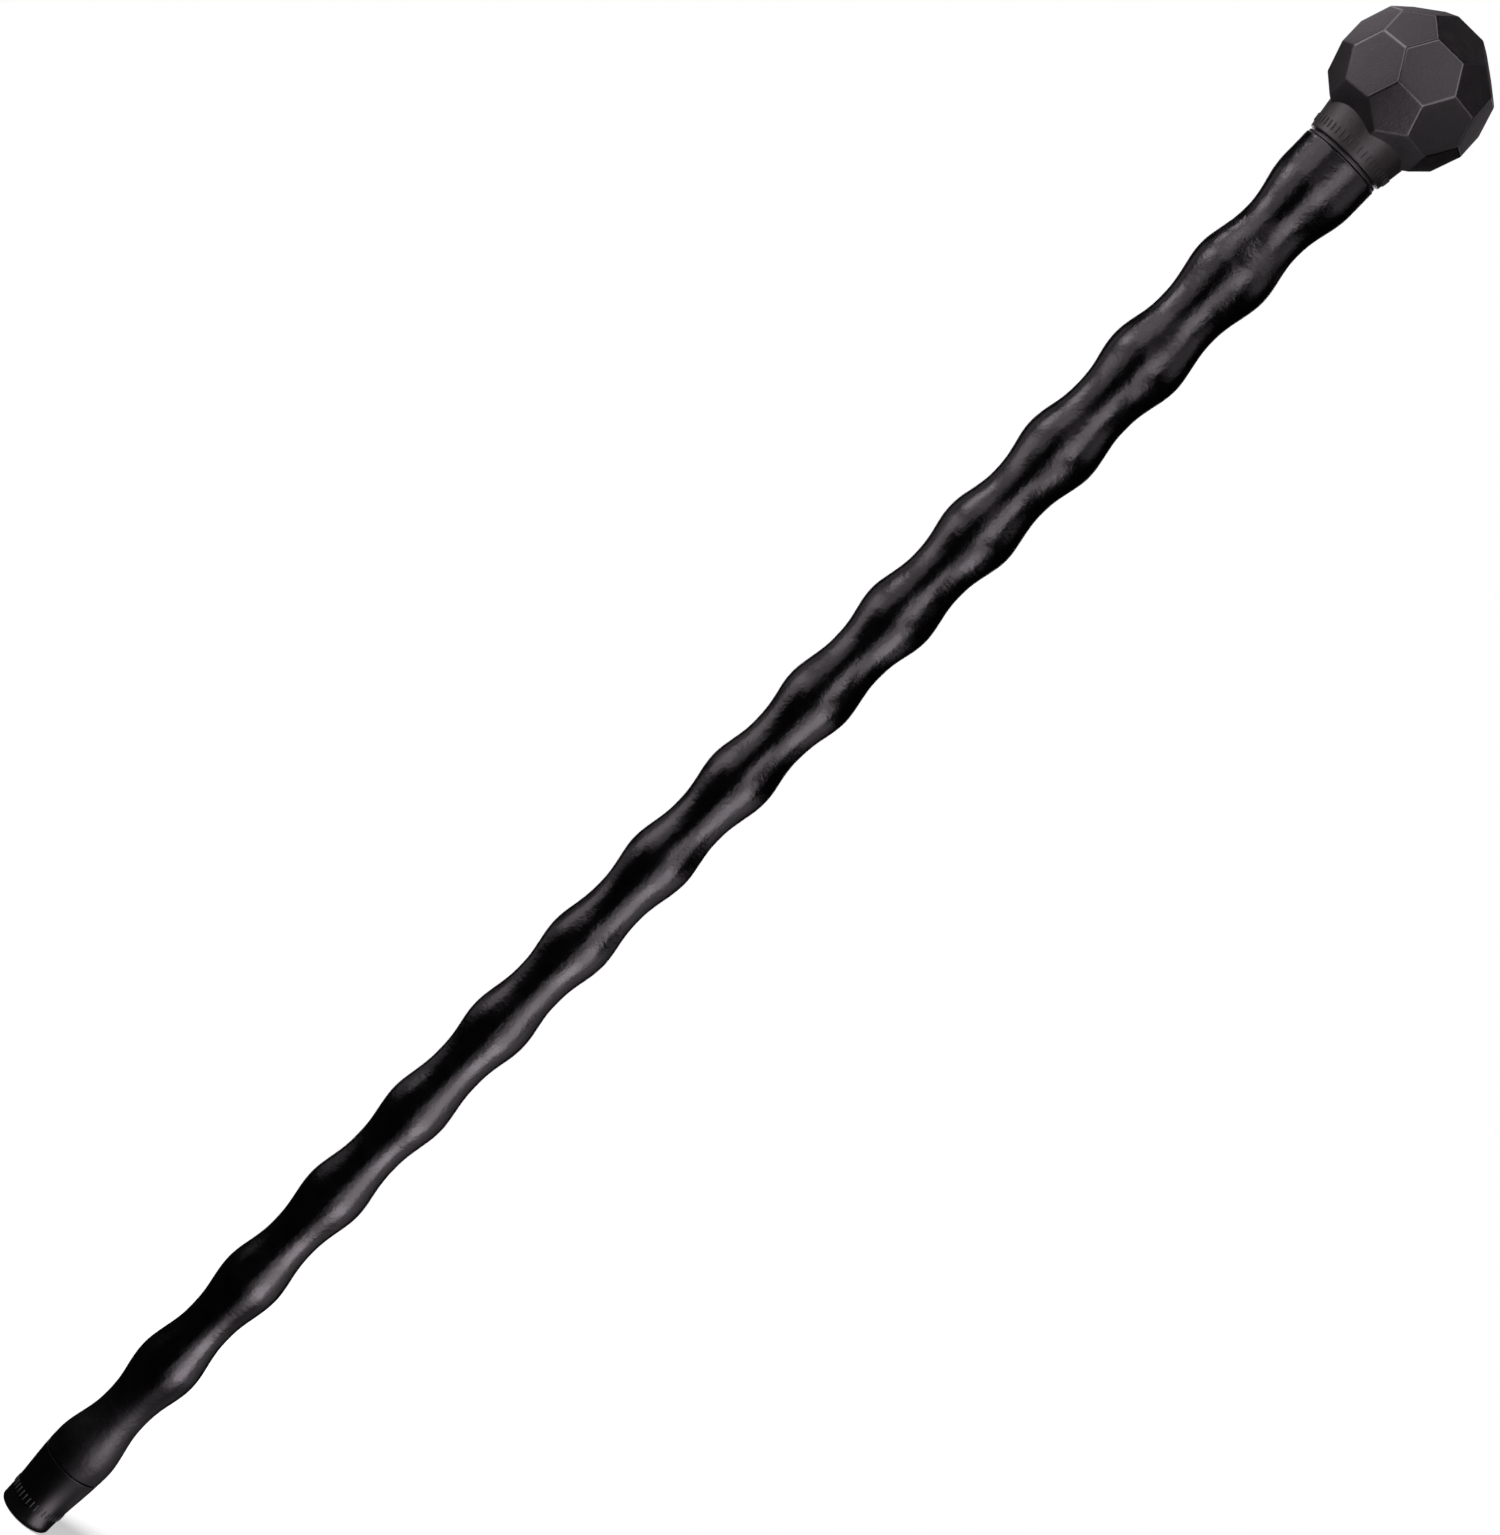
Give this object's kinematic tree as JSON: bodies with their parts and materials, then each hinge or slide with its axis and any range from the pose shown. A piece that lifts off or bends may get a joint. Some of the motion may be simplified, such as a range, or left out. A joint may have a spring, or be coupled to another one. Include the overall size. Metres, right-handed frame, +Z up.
{
  "type": "knobbed walking stick",
  "caption": "Upright walking stick with a ring-beaded tapering shaft, a faceted ball head on a flared screw-off collar and a push-on rubber foot.",
  "frame": {"origin": "middle of the foot's ground face, on the stick's axis", "axes": "+Z up along the shaft to the knob; -Y faces the camera of the picture"},
  "size_m": [0.0736, 0.0728, 0.9487],
  "materials": {
    "shaft_plastic": "satin-gloss moulded polypropylene, black",
    "knob_plastic": "fine matt moulded polypropylene, charcoal black",
    "ring_nylon": "plain black nylon",
    "foot_rubber": "moulded rubber, satin black",
    "plated_steel": "zinc plated",
    "insert_brass": "turned"
  },
  "bodies": {
    "shaft": {"shaft": "shaft_plastic", "shaft_insert": "insert_brass"},
    "neck_ring": {"neck_ring": "ring_nylon"},
    "knob": {"knob": "knob_plastic", "knob_insert": "insert_brass", "stud": "plated_steel"},
    "ferrule": {"ferrule": "foot_rubber", "ferrule_washer": "plated_steel"}
  },
  "joints": [
    {"name": "knob_lift", "type": "slide", "parent": "shaft", "child": "neck_ring", "axis": [0, 0, 1], "range_m": [0, 0.014]},
    {"name": "knob_turn", "type": "hinge", "parent": "neck_ring", "child": "knob", "pos_m": [0, 0, 0.8719], "axis": [0, 0, 1], "range_deg": [0, 2880]},
    {"name": "ferrule_pull", "type": "slide", "parent": "shaft", "child": "ferrule", "axis": [0, 0, -1], "range_m": [0, 0.0233]}
  ],
  "couplings": [
    {"joint": "knob_lift", "follows": "knob_turn", "m_per_rad": 0.00027852}
  ]
}
